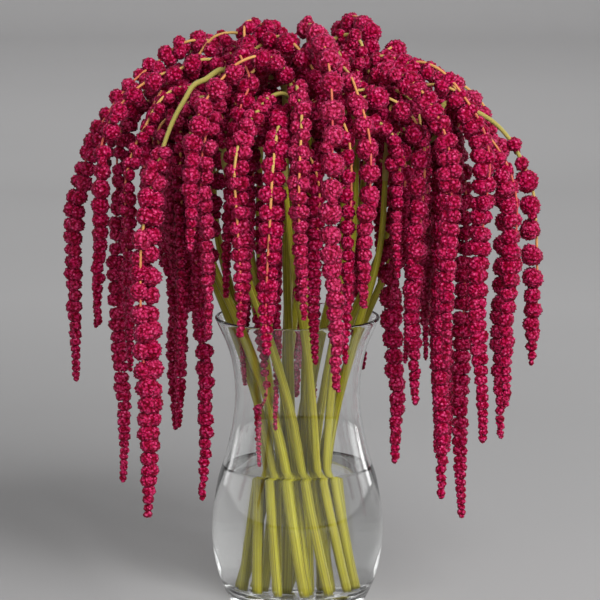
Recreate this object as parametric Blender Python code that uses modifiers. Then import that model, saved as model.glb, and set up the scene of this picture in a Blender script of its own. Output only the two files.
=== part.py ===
"""Hanging amaranth in a clear glass vase, in metres, +Z up.

A flared glass vase holds water and a twisted bundle of cut stems. Each stem ends in a seed head:
a few beaded tassels that grow from one crown, arch over and hang down round the vase.
The origin is the centre of the vase's foot. The front of the bunch faces -Y.
"""

import math
import random
from collections import namedtuple

import bmesh
import bpy
import numpy as np
from mathutils import Matrix, Vector

# Vase: outer outline from the foot up to the rim, as (radius, height)
VASE_OUTLINE = (
    (0.0620, 0.0055),
    (0.0724, 0.0310),
    (0.0776, 0.0690),
    (0.0730, 0.1100),
    (0.0647, 0.1395),
    (0.0578, 0.1730),
    (0.0566, 0.2010),
    (0.0611, 0.2315),
    (0.0740, 0.2630),
)
RIM_TOP = 0.2645
FOOT_RADIUS = 0.0550
WALL = 0.0032
FLOOR_HEIGHT = 0.0150
FLOOR_RADIUS = 0.0540
VASE_SIDES = 32
WATER_LEVEL = 0.1270

# Clearance left between touching pieces
GAP = 0.00035

# Stems: rings of the bundle at its waist, as (number of stems, ring radius, first azimuth in
# degrees, usual height of the stem's top)
STEM_RINGS = (
    (12, 0.0276, 8.0, 0.405),
    (6, 0.0166, 20.0, 0.455),
    (2, 0.0056, -12.0, 0.487),
)
STEM_DIAMETERS = (0.0070, 0.0086)
STEM_TAPER = 0.62
TAPER_FROM = 0.265
STEM_HEIGHTS = (0.080, 0.127, 0.185, 0.250, 0.330, 0.420)
# How far the bundle is spread at each height, as a multiple of its waist
BUNDLE_SPREAD = (
    (0.0150, 1.42),
    (0.0700, 1.12),
    (0.1270, 1.00),
    (0.1900, 1.36),
    (0.2650, 2.24),
    (0.3300, 3.20),
    (0.4000, 3.60),
    (0.5200, 3.80),
)
WAIST_HEIGHT = 0.1270
TWIST = -0.85
TWIST_HEIGHT = 0.150

# Tassels: where each hangs, its highest and lowest points, the width of its largest beads, the
# bare stalk before them, how steeply its arch falls, and the share of its reach where it is highest
Tassel = namedtuple("Tassel", "x y apex tip girth bare fall peak", defaults=(0.035, 1.1, 0.30))
SHOWN_TASSELS = (
    Tassel(-0.199, -0.010, 0.502, 0.207, 0.021, fall=1.3, peak=0.15),
    Tassel(-0.174, -0.050, 0.488, 0.264, 0.018, fall=1.0),
    Tassel(-0.160, 0.020, 0.480, 0.107, 0.019),
    Tassel(-0.147, -0.080, 0.468, 0.228, 0.016),
    Tassel(-0.130, -0.125, 0.482, 0.108, 0.025, bare=0.165, fall=1.7),
    Tassel(-0.121, 0.030, 0.445, 0.304, 0.016),
    Tassel(-0.107, -0.020, 0.450, 0.166, 0.017),
    Tassel(-0.099, -0.075, 0.445, 0.235, 0.016),
    Tassel(-0.084, -0.050, 0.435, 0.106, 0.019),
    Tassel(-0.093, -0.140, 0.500, 0.344, 0.019),
    Tassel(-0.079, -0.120, 0.500, 0.266, 0.021),
    Tassel(-0.059, -0.110, 0.518, 0.299, 0.020),
    Tassel(-0.050, -0.140, 0.474, 0.269, 0.019, bare=0.075),
    Tassel(-0.024, -0.155, 0.462, 0.257, 0.021, bare=0.060, fall=1.3),
    Tassel(0.004, -0.165, 0.474, 0.288, 0.020, bare=0.050, fall=1.3),
    Tassel(0.031, -0.160, 0.520, 0.228, 0.022, fall=1.3),
    Tassel(0.044, -0.125, 0.470, 0.243, 0.015),
    Tassel(0.058, -0.130, 0.500, 0.293, 0.020),
    Tassel(0.016, -0.110, 0.450, 0.240, 0.015),
    Tassel(-0.034, -0.034, 0.430, 0.133, 0.011),
    Tassel(-0.046, -0.022, 0.425, 0.205, 0.010),
    Tassel(-0.019, -0.046, 0.430, 0.168, 0.012),
    Tassel(0.085, -0.042, 0.440, 0.138, 0.021),
    Tassel(0.098, 0.020, 0.425, 0.217, 0.012),
    Tassel(0.101, -0.085, 0.470, 0.199, 0.020),
    Tassel(0.116, 0.010, 0.435, 0.223, 0.012),
    Tassel(0.127, -0.060, 0.460, 0.109, 0.021),
    Tassel(0.125, 0.040, 0.450, 0.130, 0.013),
    Tassel(0.130, -0.115, 0.490, 0.242, 0.020),
    Tassel(0.147, -0.020, 0.470, 0.083, 0.020),
    Tassel(0.161, -0.065, 0.488, 0.161, 0.021),
    Tassel(0.187, -0.045, 0.462, 0.190, 0.022),
    Tassel(0.210, 0.005, 0.454, 0.218, 0.020, bare=0.150, fall=1.2),
    Tassel(0.175, 0.030, 0.482, 0.382, 0.018, bare=0.060, fall=0.85),
    Tassel(-0.135, -0.045, 0.504, 0.380, 0.020, fall=1.3),
    Tassel(0.140, -0.035, 0.484, 0.370, 0.020),
    Tassel(0.072, 0.015, 0.525, 0.440, 0.020, peak=0.6),
)

# The other tassels stand in rings: their number, the azimuths they sweep in degrees, the reaches
# they take in turn, and the ranges of their highest point, their tip and their girth. The highest
# points lie on a dome, which falls by DOME_FALL times the square of the reach
Ring = namedtuple("Ring", "count sweep reaches apex tip girth")
RINGS = (
    Ring(17, (12, 168), (0.195, 0.128, 0.168, 0.105), (0.490, 0.516), (0.110, 0.330), (0.014, 0.021)),
    Ring(5, (-188, -132), (0.122, 0.102), (0.470, 0.505), (0.255, 0.325), (0.018, 0.021)),
    Ring(5, (-48, 8), (0.122, 0.102), (0.470, 0.505), (0.255, 0.325), (0.018, 0.021)),
    Ring(5, (-130, -50), (0.084, 0.070), (0.464, 0.482), (0.290, 0.340), (0.018, 0.021)),
    Ring(6, (0, 180), (0.088, 0.060, 0.072), (0.494, 0.512), (0.370, 0.420), (0.018, 0.021)),
    Ring(6, (-173, 7), (0.072, 0.088, 0.060), (0.504, 0.522), (0.462, 0.482), (0.018, 0.021)),
)
DOME_FALL = 1.2
REACH_JITTER = 0.006
MOST_ON_A_STEM = 6
LEAST_SPAN = 0.055
SEED = 7

# How a tassel leaves its crown: depth of the crown below the lowest of the highest points, and the
# small offset between the tassels there
CROWN_DEPTH = 0.030
CROWN_LENGTH = 0.014
CROWN_SPLAY = 0.0012
STALK_RADIUS = 0.0021
SWAY = 0.003
SWAY_LENGTH = 0.26

# Bead width along a tassel, as (share of its length, share of its girth)
BEAD_PROFILE = ((0.0, 0.75), (0.10, 1.0), (0.58, 1.0), (0.82, 0.76), (1.0, 0.36))
BEAD_PITCH = 0.040
BEAD_NECK = 0.5
BEAD_TURN = math.pi / 8
STEPS_PER_RING = 3
STEP = BEAD_PITCH / 2 / STEPS_PER_RING
LEAST_RADIUS = 0.0015

# Settling: tassels that would overlap push each other, the stems and the vase's wall aside
SETTLE_STEPS = 240
SEARCH_EVERY = 12
SEARCH_MARGIN = 0.010
SETTLE_GAP = 0.0019
FREE_STEPS = 60
PULL_HOME = 0.02
ROOTED = 0.014
FUSED_LENGTH = 0.042
POST_STEP = 0.004

# Materials, as (colour, roughness, share of light let through)
LOOKS = {
    "glass": ((0.90, 0.95, 0.94, 1.0), 0.02, 1.0),
    "water": ((0.86, 0.93, 0.93, 1.0), 0.02, 1.0),
    "green_stem": ((0.37, 0.34, 0.08, 1.0), 0.50, 0.0),
    "seed_cluster": ((0.42, 0.02, 0.12, 1.0), 0.80, 0.0),
}


def wall_radius(height):
    """Outer radius of the vase at a height."""
    radii, heights = np.array(VASE_OUTLINE).T
    return np.interp(height, heights, radii)


def bundle_point(radius, azimuth, height):
    """Where a stem that stands at (radius, azimuth) in the waist passes a height."""
    heights, spreads = np.array(BUNDLE_SPREAD).T
    reach = radius * np.interp(height, heights, spreads)
    turn = azimuth + TWIST * math.tanh((height - WAIST_HEIGHT) / TWIST_HEIGHT)
    return np.array([reach * math.cos(turn), reach * math.sin(turn), height])


def plan_stems():
    """Each stem as (waist radius, waist azimuth, radius of the stem, usual height of its top)."""
    draw = random.Random(SEED)
    stems = []
    for count, radius, first, top in STEM_RINGS:
        for k in range(count):
            azimuth = math.radians(first + 360 * k / count + draw.uniform(-2, 2))
            stems.append((radius, azimuth, draw.uniform(*STEM_DIAMETERS) / 2, top))
    return stems


def plan_ring(ring, draw):
    """The tassels of one ring, evenly spaced round it."""
    first, last = ring.sweep
    tassels = []
    for k in range(ring.count):
        azimuth = math.radians(first + (last - first) * (k + 0.5) / ring.count)
        reach = ring.reaches[k % len(ring.reaches)] + draw.uniform(-REACH_JITTER, REACH_JITTER)
        x, y = reach * math.cos(azimuth), reach * math.sin(azimuth)
        apex, tip, girth = (draw.uniform(*span) for span in (ring.apex, ring.tip, ring.girth))
        tassels.append(Tassel(x, y, apex - DOME_FALL * reach**2, tip, girth))
    return tassels


def share_out(tassels, stems):
    """For each stem, the tassels that grow from it: those that suit its place and height best."""
    tops = [bundle_point(radius, azimuth, top) for radius, azimuth, _, top in stems]
    shares = [[] for _ in stems]
    for tassel in sorted(tassels, key=lambda t: -math.hypot(t.x, t.y)):

        def cost(k):
            if len(shares[k]) == MOST_ON_A_STEM:
                return math.inf
            away = math.hypot(tops[k][0] - 0.4 * tassel.x, tops[k][1] - 0.4 * tassel.y)
            span = math.hypot(tops[k][0] - tassel.x, tops[k][1] - tassel.y)
            lift = abs(tops[k][2] + CROWN_DEPTH - tassel.apex)
            cramped = max(0, LEAST_SPAN - span)
            return away + 1.6 * lift + 4 * cramped + 0.005 * len(shares[k]) ** 2

        shares[min(range(len(stems)), key=cost)].append(tassel)
    return shares


def resample(points, step):
    """Points about a step apart along a line of points, with both its ends."""
    points = np.asarray(points)
    lengths = np.concatenate([[0], np.cumsum(np.linalg.norm(np.diff(points, axis=0), axis=1))])
    at = np.linspace(0, lengths[-1], max(3, round(lengths[-1] / step) + 1))
    return np.column_stack([np.interp(at, lengths, points[:, k]) for k in range(3)])


def stem_line(radius, azimuth, thickness, top):
    """A stem's line from the vase's floor, where its cut end just clears it, up to its top."""
    foot = bundle_point(radius, azimuth, FLOOR_HEIGHT)
    second = bundle_point(radius, azimuth, STEM_HEIGHTS[0])
    lean = math.hypot(*(second - foot)[:2]) / math.dist(foot, second)
    start = FLOOR_HEIGHT + GAP + thickness * lean
    between = [height for height in STEM_HEIGHTS if height < top - 0.015]
    return np.array([bundle_point(radius, azimuth, z) for z in (start, *between, top)])


def stem_radii(line, thickness):
    """A stem's radius at each of its points: it tapers above the vase."""
    return thickness * np.interp(line[:, 2], (TAPER_FROM, line[-1, 2]), (1, STEM_TAPER))


def tassel_line(tassel, crown, leaving, phase):
    """A tassel's line from its crown, over its highest point and down to its tip."""
    across = (np.array([tassel.x, tassel.y, 0]) - crown) * (1, 1, 0)
    apex = crown + tassel.peak * across
    apex[2] = tassel.apex
    lift = crown + leaving * 0.6 * (tassel.apex - crown[2])
    level = apex - 0.5 * tassel.peak * across
    t = np.linspace(0, 1, 12, endpoint=False)[:, None]
    climb = (
        (1 - t) ** 3 * crown
        + 3 * (1 - t) ** 2 * t * lift
        + 3 * (1 - t) * t**2 * level
        + t**3 * apex
    )
    turn = np.linspace(0, math.pi / 2, 24)
    arch = apex + (1 - tassel.peak) * across * np.sin(turn)[:, None]
    drop = tassel.fall * (1 - tassel.peak) * np.linalg.norm(across)
    arch[:, 2] -= drop * (1 - np.cos(turn))
    arch = arch[arch[:, 2] > tassel.tip]
    end = [arch[-1, 0], arch[-1, 1], min(tassel.tip, arch[-1, 2] - STEP)]
    line = resample(np.vstack([climb, arch, end]), STEP)
    along = np.arange(len(line)) * STEP
    swing = SWAY * np.minimum(1, along / 0.15) * np.sin(along / SWAY_LENGTH * math.tau + phase)
    line[:, 0] += swing * math.cos(1.7 * phase)
    line[:, 1] += swing * math.sin(1.7 * phase)
    return line


def tassel_radii(tassel, count):
    """Radius of a tassel's beads, or of its bare stalk, at each of its points."""
    shares, widths = np.array(BEAD_PROFILE).T
    along = np.arange(count) * STEP
    share = np.clip((along - tassel.bare) / (along[-1] - tassel.bare), 0, 1)
    full = tassel.girth / 2 * np.interp(share, shares, widths)
    beaded = np.clip((along - tassel.bare + STEP) / (2 * STEP), 0, 1)
    return STALK_RADIUS + beaded * (full - STALK_RADIUS)


def close_pairs(a, a_radii, b, b_radii):
    """Indices of the points of a and b whose balls nearly meet."""
    squares = (a**2).sum(1)[:, None] + (b**2).sum(1) - 2 * a @ b.T
    return np.nonzero(squares < (a_radii[:, None] + b_radii + SEARCH_MARGIN) ** 2)


def wall_push(points, radii, inside):
    """Moves that keep points clear of the vase: outside its wall, or inside it."""
    reach = np.hypot(points[:, 0], points[:, 1]) + 1e-9
    wall = wall_radius(points[:, 2])
    out = np.maximum(0, wall + radii + SETTLE_GAP - reach)
    back = np.minimum(0, wall - WALL - radii - SETTLE_GAP - reach)
    low = points[:, 2] < RIM_TOP + radii + SETTLE_GAP
    move = low * np.where(inside, back, out) / reach
    return np.column_stack([points[:, 0] * move, points[:, 1] * move, 0 * move])


def ring_places(count, bare):
    """Which of a tassel's points carry a ring: a few on its stalk, then two for each bead."""
    first = round(bare / STEP)
    return [*range(0, first, STEPS_PER_RING), *range(first, count, STEPS_PER_RING)]


def straightened(line, bare):
    """A tassel's points moved onto the straight runs between its rings."""
    rings = ring_places(len(line), bare)
    at = np.arange(len(line))
    return np.column_stack([np.interp(at, rings, column) for column in line[rings].T])


def settle(lines, radii, bares, heads, posts, post_radii, post_heads):
    """The tassels' lines moved clear of each other, of the stems and of the vase.

    Tassels of one head may touch near their crown, where they grow together. Returns the lines,
    and radii that are reduced wherever two tassels still press on each other.
    """
    ends = np.cumsum([len(line) for line in lines])[:-1]
    counts = [len(line) for line in lines]
    points, sizes = np.vstack(lines), np.concatenate(radii)
    home = points.copy()
    head, strand = np.repeat(heads, counts), np.repeat(np.arange(len(lines)), counts)
    along = np.concatenate([np.arange(count) * STEP for count in counts])
    loose = np.clip((along - ROOTED) / ROOTED, 0, 1)[:, None]
    hangs_inside = [math.hypot(*line[-1][:2]) < VASE_OUTLINE[-1][0] - 0.012 for line in lines]
    inside = np.repeat(hangs_inside, counts)

    def contacts():
        i, j = close_pairs(points, sizes, points, sizes)
        fused = (head[i] == head[j]) & (np.minimum(along[i], along[j]) < FUSED_LENGTH)
        keep = (i < j) & (strand[i] != strand[j]) & ~fused
        p, q = close_pairs(points, sizes, posts, post_radii)
        grown = (head[p] == post_heads[q]) & (along[p] < FUSED_LENGTH)
        return i[keep], j[keep], p[~grown], q[~grown]

    def overlap(a, b, room):
        apart = np.linalg.norm(a - b, axis=1) + 1e-9
        return np.maximum(0, room - apart), (a - b) / apart[:, None]

    for step in range(SETTLE_STEPS):
        if step % SEARCH_EVERY == 0:
            i, j, p, q = contacts()
        push = wall_push(points, sizes, inside)
        touches = np.ones(len(points))
        deep, way = overlap(points[i], points[j], sizes[i] + sizes[j] + SETTLE_GAP)
        np.add.at(push, i, way * deep[:, None] / 2)
        np.add.at(push, j, -way * deep[:, None] / 2)
        np.add.at(touches, i, deep > 0)
        np.add.at(touches, j, deep > 0)
        deep, way = overlap(points[p], posts[q], sizes[p] + post_radii[q] + SETTLE_GAP)
        np.add.at(push, p, way * deep[:, None])
        np.add.at(touches, p, deep > 0)
        push /= np.sqrt(touches)[:, None]
        for part in np.split(push, ends):
            for _ in range(3):
                part[1:-1] = 0.25 * part[:-2] + 0.5 * part[1:-1] + 0.25 * part[2:]
        if step < SETTLE_STEPS - FREE_STEPS:
            push += PULL_HOME * (home - points)
        points += loose * push

    settled = np.split(points.copy(), ends)
    points[:] = np.vstack([straightened(line, bare) for line, bare in zip(settled, bares)])
    i, j, p, q = contacts()
    safe = sizes.copy()
    apart = np.linalg.norm(points[i] - points[j], axis=1) - SETTLE_GAP
    share = np.minimum(1, apart / (sizes[i] + sizes[j]))
    np.minimum.at(safe, i, share * sizes[i])
    np.minimum.at(safe, j, share * sizes[j])
    apart = np.linalg.norm(points[p] - posts[q], axis=1) - SETTLE_GAP
    np.minimum.at(safe, p, apart - post_radii[q])
    safe -= np.linalg.norm(wall_push(points, sizes, inside), axis=1)
    return settled, np.split(np.maximum(safe, LEAST_RADIUS), ends)


def plan_bunch():
    """The stems' lines and radii, and each head's tassel lines and radii, all clear of each other."""
    draw = random.Random(SEED + 2)
    stems = plan_stems()
    ringed = [tassel for ring in RINGS for tassel in plan_ring(ring, draw)]
    shares = share_out([*SHOWN_TASSELS, *ringed], stems)
    stem_lines, stem_sizes = [], []
    lines, radii, heads, bares = [], [], [], []
    for k, ((radius, azimuth, thickness, top), share) in enumerate(zip(stems, shares)):
        top = min([top] + [tassel.apex - CROWN_DEPTH for tassel in share])
        stem = stem_line(radius, azimuth, thickness, top)
        stem_lines.append(stem)
        stem_sizes.append(stem_radii(stem, thickness))
        leaving = (stem[-1] - stem[-2]) / np.linalg.norm(stem[-1] - stem[-2])
        for n, tassel in enumerate(share):
            bearing = math.tau * n / len(share)
            offset = CROWN_SPLAY * np.array([math.cos(bearing), math.sin(bearing), 0])
            crown = stem[-1] + leaving * (0.25 + 0.12 * n) * CROWN_LENGTH + offset
            line = tassel_line(tassel, crown, leaving, draw.uniform(0, math.tau))
            lines.append(line)
            radii.append(tassel_radii(tassel, len(line)))
            heads.append(k)
            bares.append(tassel.bare)
    posts = [resample(line, POST_STEP) for line in stem_lines]
    post_radii = [np.full(len(p), sizes.max()) for p, sizes in zip(posts, stem_sizes)]
    post_heads = np.repeat(np.arange(len(posts)), [len(p) for p in posts])
    lines, radii = settle(
        lines, radii, bares, heads, np.vstack(posts), np.concatenate(post_radii), post_heads
    )
    sprays = [[] for _ in stems]
    for head, line, sizes, bare in zip(heads, lines, radii, bares):
        sprays[head].append((line, sizes, bare))
    return list(zip(stem_lines, stem_sizes)), sprays


def make_material(name):
    """A material with the colour, roughness and clearness listed for it."""
    colour, roughness, clearness = LOOKS[name]
    material = bpy.data.materials.new(name)
    material.use_nodes = True
    shader = material.node_tree.nodes["Principled BSDF"]
    shader.inputs["Base Color"].default_value = colour
    shader.inputs["Roughness"].default_value = roughness
    shader.inputs["Metallic"].default_value = 0.0
    shader.inputs["Transmission Weight"].default_value = clearness
    return material


def add_object(name, data, collection):
    """A new object in a collection."""
    thing = bpy.data.objects.new(name, data)
    collection.objects.link(thing)
    return thing


def evaluated_mesh(thing, name):
    """A mesh of an object's evaluated shape, with the edges of loose caps welded."""
    bpy.context.view_layer.update()
    evaluated = thing.evaluated_get(bpy.context.evaluated_depsgraph_get())
    mesh = bpy.data.meshes.new_from_object(evaluated)
    mesh.name = name
    shape = bmesh.new()
    shape.from_mesh(mesh)
    bmesh.ops.remove_doubles(shape, verts=shape.verts, dist=1e-6)
    shape.to_mesh(mesh)
    shape.free()
    return mesh


def keep_main_shell(mesh):
    """Drops all but a mesh's largest shell, which fills sealed hollows and drops loose scraps."""
    shape = bmesh.new()
    shape.from_mesh(mesh)
    left, shells = set(shape.verts), []
    while left:
        shells.append([left.pop()])
        for vert in shells[-1]:
            for edge in vert.link_edges:
                other = edge.other_vert(vert)
                if other in left:
                    left.remove(other)
                    shells[-1].append(other)
    main_shell = set(max(shells, key=len))
    extra = [vert for vert in shape.verts if vert not in main_shell]
    bmesh.ops.delete(shape, geom=extra, context="VERTS")
    shape.to_mesh(mesh)
    shape.free()


def tube(name, line, radii, resolution, collection, turn=0.0):
    """A curve object: a capped tube of varying radius along a line of points."""
    curve = bpy.data.curves.new(name, "CURVE")
    curve.dimensions = "3D"
    curve.bevel_depth = 1.0
    curve.bevel_resolution = resolution
    curve.use_fill_caps = True
    spline = curve.splines.new("POLY")
    spline.points.add(len(line) - 1)
    for k, (at, radius) in enumerate(zip(line, radii)):
        spline.points[k].co = (*at, 1.0)
        spline.points[k].radius = radius
        spline.points[k].tilt = k * turn
    return add_object(name, curve, collection)


def tube_mesh(name, line, radii, resolution, collection, turn=0.0):
    """The same tube as a mesh object."""
    curve = tube(name, line, radii, resolution, collection, turn)
    solid = add_object(name, evaluated_mesh(curve, name), collection)
    bpy.data.objects.remove(curve)
    return solid


def turned(name, profile, collection):
    """A solid turned about Z from a profile that runs down its outer side."""
    mesh = bpy.data.meshes.new(name)
    edges = [(k, k + 1) for k in range(len(profile) - 1)]
    mesh.from_pydata([(radius, 0, height) for radius, height in profile], edges, [])
    solid = add_object(name, mesh, collection)
    screw = solid.modifiers.new("turn", "SCREW")
    screw.axis = "Z"
    screw.steps = screw.render_steps = VASE_SIDES
    screw.use_merge_vertices = True
    screw.merge_threshold = 0.00001
    screw.use_smooth_shade = True
    return solid


def inner_wall():
    """Inner outline of the vase from the edge of its floor up to the rim."""
    wall = [(radius - WALL, height) for radius, height in VASE_OUTLINE[1:]]
    return [(FLOOR_RADIUS, FLOOR_HEIGHT), *wall]


def add_vase(collection):
    """The glass vase: one wall, a rounded rim and a thick flat foot."""
    rim_radius = VASE_OUTLINE[-1][0] - WALL / 2
    return turned(
        "vase",
        [
            (0, FLOOR_HEIGHT),
            *inner_wall(),
            (rim_radius, RIM_TOP),
            *reversed(VASE_OUTLINE),
            (FOOT_RADIUS, 0),
            (0, 0),
        ],
        collection,
    )


def add_water(stems, collection, cutters):
    """The water, which fills the vase up to its level and has a hole round each stem."""
    wall = [(radius - GAP, height) for radius, height in inner_wall() if height < WATER_LEVEL]
    radii, heights = np.array(inner_wall()).T
    edge = float(np.interp(WATER_LEVEL, heights, radii)) - GAP
    bottom = FLOOR_HEIGHT + GAP
    water = turned(
        "water",
        [
            (0, WATER_LEVEL),
            (edge, WATER_LEVEL),
            *reversed(wall[1:]),
            (FLOOR_RADIUS - GAP, bottom),
            (0, bottom),
        ],
        collection,
    )
    for k, (line, radii) in enumerate(stems):
        below = line[0] - 0.3 * (line[1] - line[0])
        above = np.argmax(line[:, 2] > WATER_LEVEL)
        dipped = [below, *line[1 : above + 1]]
        tube_mesh(f"hole_{k + 1:02}", dipped, [radii[0] + GAP] * len(dipped), 1, cutters)
    cut = water.modifiers.new("stem holes", "BOOLEAN")
    cut.operation = "DIFFERENCE"
    cut.operand_type = "COLLECTION"
    cut.collection = cutters
    return water


def bead_rings(line, radii, bare):
    """Points and radii of a tassel's rings: its stalk, then a neck and a middle for each bead."""
    tightest = [radii[max(0, k - 2) : k + 3].min() for k in range(len(line))]
    places = ring_places(len(line), bare)
    necks = [k for k in places if k >= bare / STEP - 0.5][::2]
    sizes = [tightest[k] * (BEAD_NECK if k in necks else 1) for k in places]
    return line[places], np.maximum(sizes, LEAST_RADIUS)


def add_spray(name, stem, tassels, collection, parts):
    """A seed head: its tassels fused with the crown that stands on the stem's top."""
    line, radii = stem
    leaving = Vector(line[-1] - line[-2]).normalized()
    base = Vector(line[-1]) + leaving * (GAP + CROWN_LENGTH / 2)
    shape = bmesh.new()
    bmesh.ops.create_cone(
        shape,
        cap_ends=True,
        segments=6,
        radius1=radii[-1],
        radius2=radii[-1] + CROWN_SPLAY,
        depth=CROWN_LENGTH,
        matrix=Matrix.Translation(base) @ leaving.to_track_quat("Z", "Y").to_matrix().to_4x4(),
    )
    mesh = bpy.data.meshes.new(name)
    shape.to_mesh(mesh)
    shape.free()
    crown = add_object(f"{name}_crown", mesh, collection)
    for n, (points, sizes, bare) in enumerate(tassels):
        rings, widths = bead_rings(points, sizes, bare)
        tube_mesh(f"{name}_{n}", rings, widths, 0, parts, BEAD_TURN)
    join = crown.modifiers.new("tassels", "BOOLEAN")
    join.operation = "UNION"
    join.operand_type = "COLLECTION"
    join.collection = parts
    spray = add_object(name, evaluated_mesh(crown, name), collection)
    keep_main_shell(spray.data)
    for thing in [crown, *parts.objects]:
        bpy.data.objects.remove(thing)
    return spray


def main():
    """Builds the vase, the water, the stems and the seed heads."""
    for thing in list(bpy.data.objects):
        bpy.data.objects.remove(thing)
    bunch = bpy.data.collections.new("amaranth_in_vase")
    cutters = bpy.data.collections.new("cutters")
    parts = bpy.data.collections.new("tassels_to_join")
    for collection in (bunch, cutters, parts):
        bpy.context.scene.collection.children.link(collection)
    stems, sprays = plan_bunch()
    looks = {name: make_material(name) for name in LOOKS}

    add_vase(bunch).data.materials.append(looks["glass"])
    add_water(stems, bunch, cutters).data.materials.append(looks["water"])
    for k, ((line, radii), tassels) in enumerate(zip(stems, sprays)):
        stem = tube(f"stem_{k + 1:02}", line, radii, 1, bunch)
        stem.data.materials.append(looks["green_stem"])
        spray = add_spray(f"spray_{k + 1:02}", (line, radii), tassels, bunch, parts)
        spray.data.materials.append(looks["seed_cluster"])
    for cutter in cutters.objects:
        cutter.hide_render = True
        cutter.display_type = "WIRE"
    bpy.data.collections.remove(parts)


main()
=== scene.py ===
"""Looks of the hanging amaranth in its glass vase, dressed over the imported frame.

The vase and the water become finely turned glass and liquid, each stem gets its ribs, and each
seed head becomes hundreds of small round clusters, every one covered in florets, strung on
their stalks. The lines that stems and tassels follow are the ones the solids were built on.
"""

import math
import random
from collections import namedtuple

import bmesh
import bpy
import numpy as np
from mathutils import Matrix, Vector


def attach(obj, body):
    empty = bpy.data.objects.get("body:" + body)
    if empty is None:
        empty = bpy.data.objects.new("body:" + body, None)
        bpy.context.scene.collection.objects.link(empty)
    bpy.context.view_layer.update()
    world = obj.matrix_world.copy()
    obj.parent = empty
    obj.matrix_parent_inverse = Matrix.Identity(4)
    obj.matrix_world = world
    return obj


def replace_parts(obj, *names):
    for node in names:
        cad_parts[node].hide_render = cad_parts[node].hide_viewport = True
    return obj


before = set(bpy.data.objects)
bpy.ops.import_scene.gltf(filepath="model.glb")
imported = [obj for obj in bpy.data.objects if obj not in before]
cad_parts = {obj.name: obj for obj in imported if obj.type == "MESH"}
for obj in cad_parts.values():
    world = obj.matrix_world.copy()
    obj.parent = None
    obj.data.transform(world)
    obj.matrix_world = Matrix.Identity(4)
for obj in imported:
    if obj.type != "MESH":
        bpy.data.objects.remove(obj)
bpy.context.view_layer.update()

# Vase: outer outline from the foot up to the rim, as (radius, height)
VASE_OUTLINE = (
    (0.0620, 0.0055),
    (0.0724, 0.0310),
    (0.0776, 0.0690),
    (0.0730, 0.1100),
    (0.0647, 0.1395),
    (0.0578, 0.1730),
    (0.0566, 0.2010),
    (0.0611, 0.2315),
    (0.0740, 0.2630),
)
RIM_TOP = 0.2645
FOOT_RADIUS = 0.0550
WALL = 0.0032
FLOOR_HEIGHT = 0.0150
FLOOR_RADIUS = 0.0540
WATER_LEVEL = 0.1270

# Clearance left between touching pieces
GAP = 0.00035

# Stems: rings of the bundle at its waist, as (number of stems, ring radius, first azimuth in
# degrees, usual height of the stem's top)
STEM_RINGS = (
    (12, 0.0276, 8.0, 0.405),
    (6, 0.0166, 20.0, 0.455),
    (2, 0.0056, -12.0, 0.487),
)
STEM_DIAMETERS = (0.0070, 0.0086)
STEM_TAPER = 0.62
TAPER_FROM = 0.265
STEM_HEIGHTS = (0.080, 0.127, 0.185, 0.250, 0.330, 0.420)
# How far the bundle is spread at each height, as a multiple of its waist
BUNDLE_SPREAD = (
    (0.0150, 1.42),
    (0.0700, 1.12),
    (0.1270, 1.00),
    (0.1900, 1.36),
    (0.2650, 2.24),
    (0.3300, 3.20),
    (0.4000, 3.60),
    (0.5200, 3.80),
)
WAIST_HEIGHT = 0.1270
TWIST = -0.85
TWIST_HEIGHT = 0.150

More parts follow.
